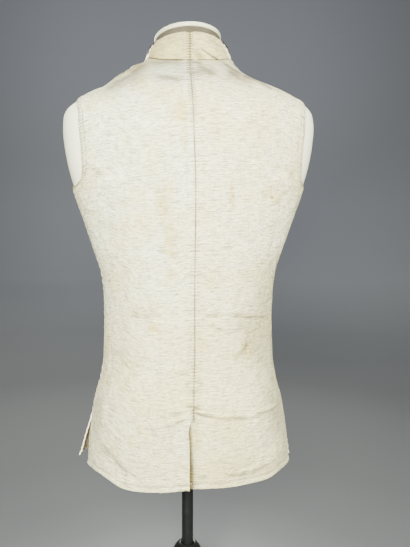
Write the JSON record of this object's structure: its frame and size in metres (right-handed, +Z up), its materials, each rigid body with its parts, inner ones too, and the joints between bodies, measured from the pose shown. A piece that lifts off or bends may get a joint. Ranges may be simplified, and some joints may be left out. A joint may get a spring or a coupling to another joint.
{
  "type": "embroidered waistcoat on a dress form",
  "caption": "Sleeveless buttoned waistcoat with a stand collar, side slits and a back vent, on a limbless dress form with a pole and a turned round base.",
  "frame": {"origin": "on the floor under the middle of the pole", "axes": "+X to the wearer's left, -Y to the wearer's front, +Z up"},
  "size_m": [0.4394, 0.31, 1.041],
  "materials": {
    "back_linen": "matt, slubby, aged off-white",
    "front_silk": "satin, ivory with embroidered borders",
    "button_thread": "silk thread over a wooden mould",
    "form_shell": "matt white jersey over a moulded form",
    "form_cap": "satin white",
    "stand_black": "gloss black enamel",
    "pole_steel": "satin dark grey"
  },
  "bodies": {
    "root": {"back_left": "back_linen", "back_right": "back_linen", "front_left": "front_silk", "front_right": "front_silk", "collar_back_left": "back_linen", "collar_back_right": "back_linen", "collar_front_left": "front_silk", "collar_front_right": "front_silk", "button_01": "button_thread", "button_02": "button_thread", "button_03": "button_thread", "button_04": "button_thread", "button_05": "button_thread", "button_06": "button_thread", "button_07": "button_thread", "button_08": "button_thread", "button_09": "button_thread", "button_10": "button_thread", "dress_form": "form_shell", "neck_cap": "form_cap", "pole_flange": "stand_black", "pole": "pole_steel", "base": "stand_black"}
  },
  "joints": []
}
